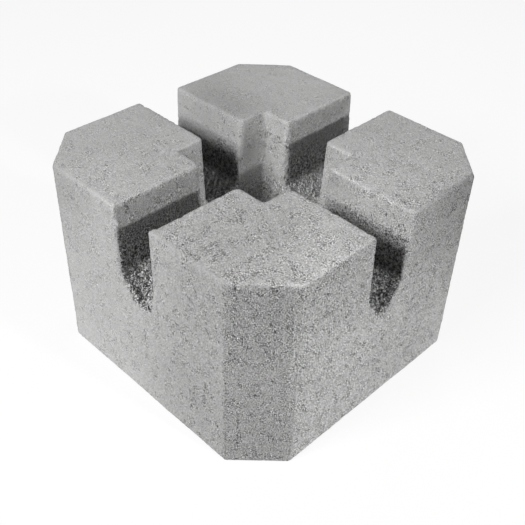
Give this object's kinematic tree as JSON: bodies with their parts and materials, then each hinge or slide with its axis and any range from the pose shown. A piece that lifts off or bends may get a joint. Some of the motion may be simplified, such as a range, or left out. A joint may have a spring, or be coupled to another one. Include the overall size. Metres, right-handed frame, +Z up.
{
  "type": "concrete deck block",
  "caption": "Squat precast concrete base block with chamfered corners, crossing joist slots and a square post socket between corner posts.",
  "frame": {"origin": "on the ground, under the middle of the block", "axes": "+Z up, out of the post socket; the joist slots run along X and Y, square to the side faces"},
  "size_m": [0.28, 0.28, 0.188],
  "materials": {
    "concrete": "matt, fine sandy dry-cast grain with small pits"
  },
  "bodies": {
    "root": {"deck_block": "concrete"}
  },
  "joints": []
}
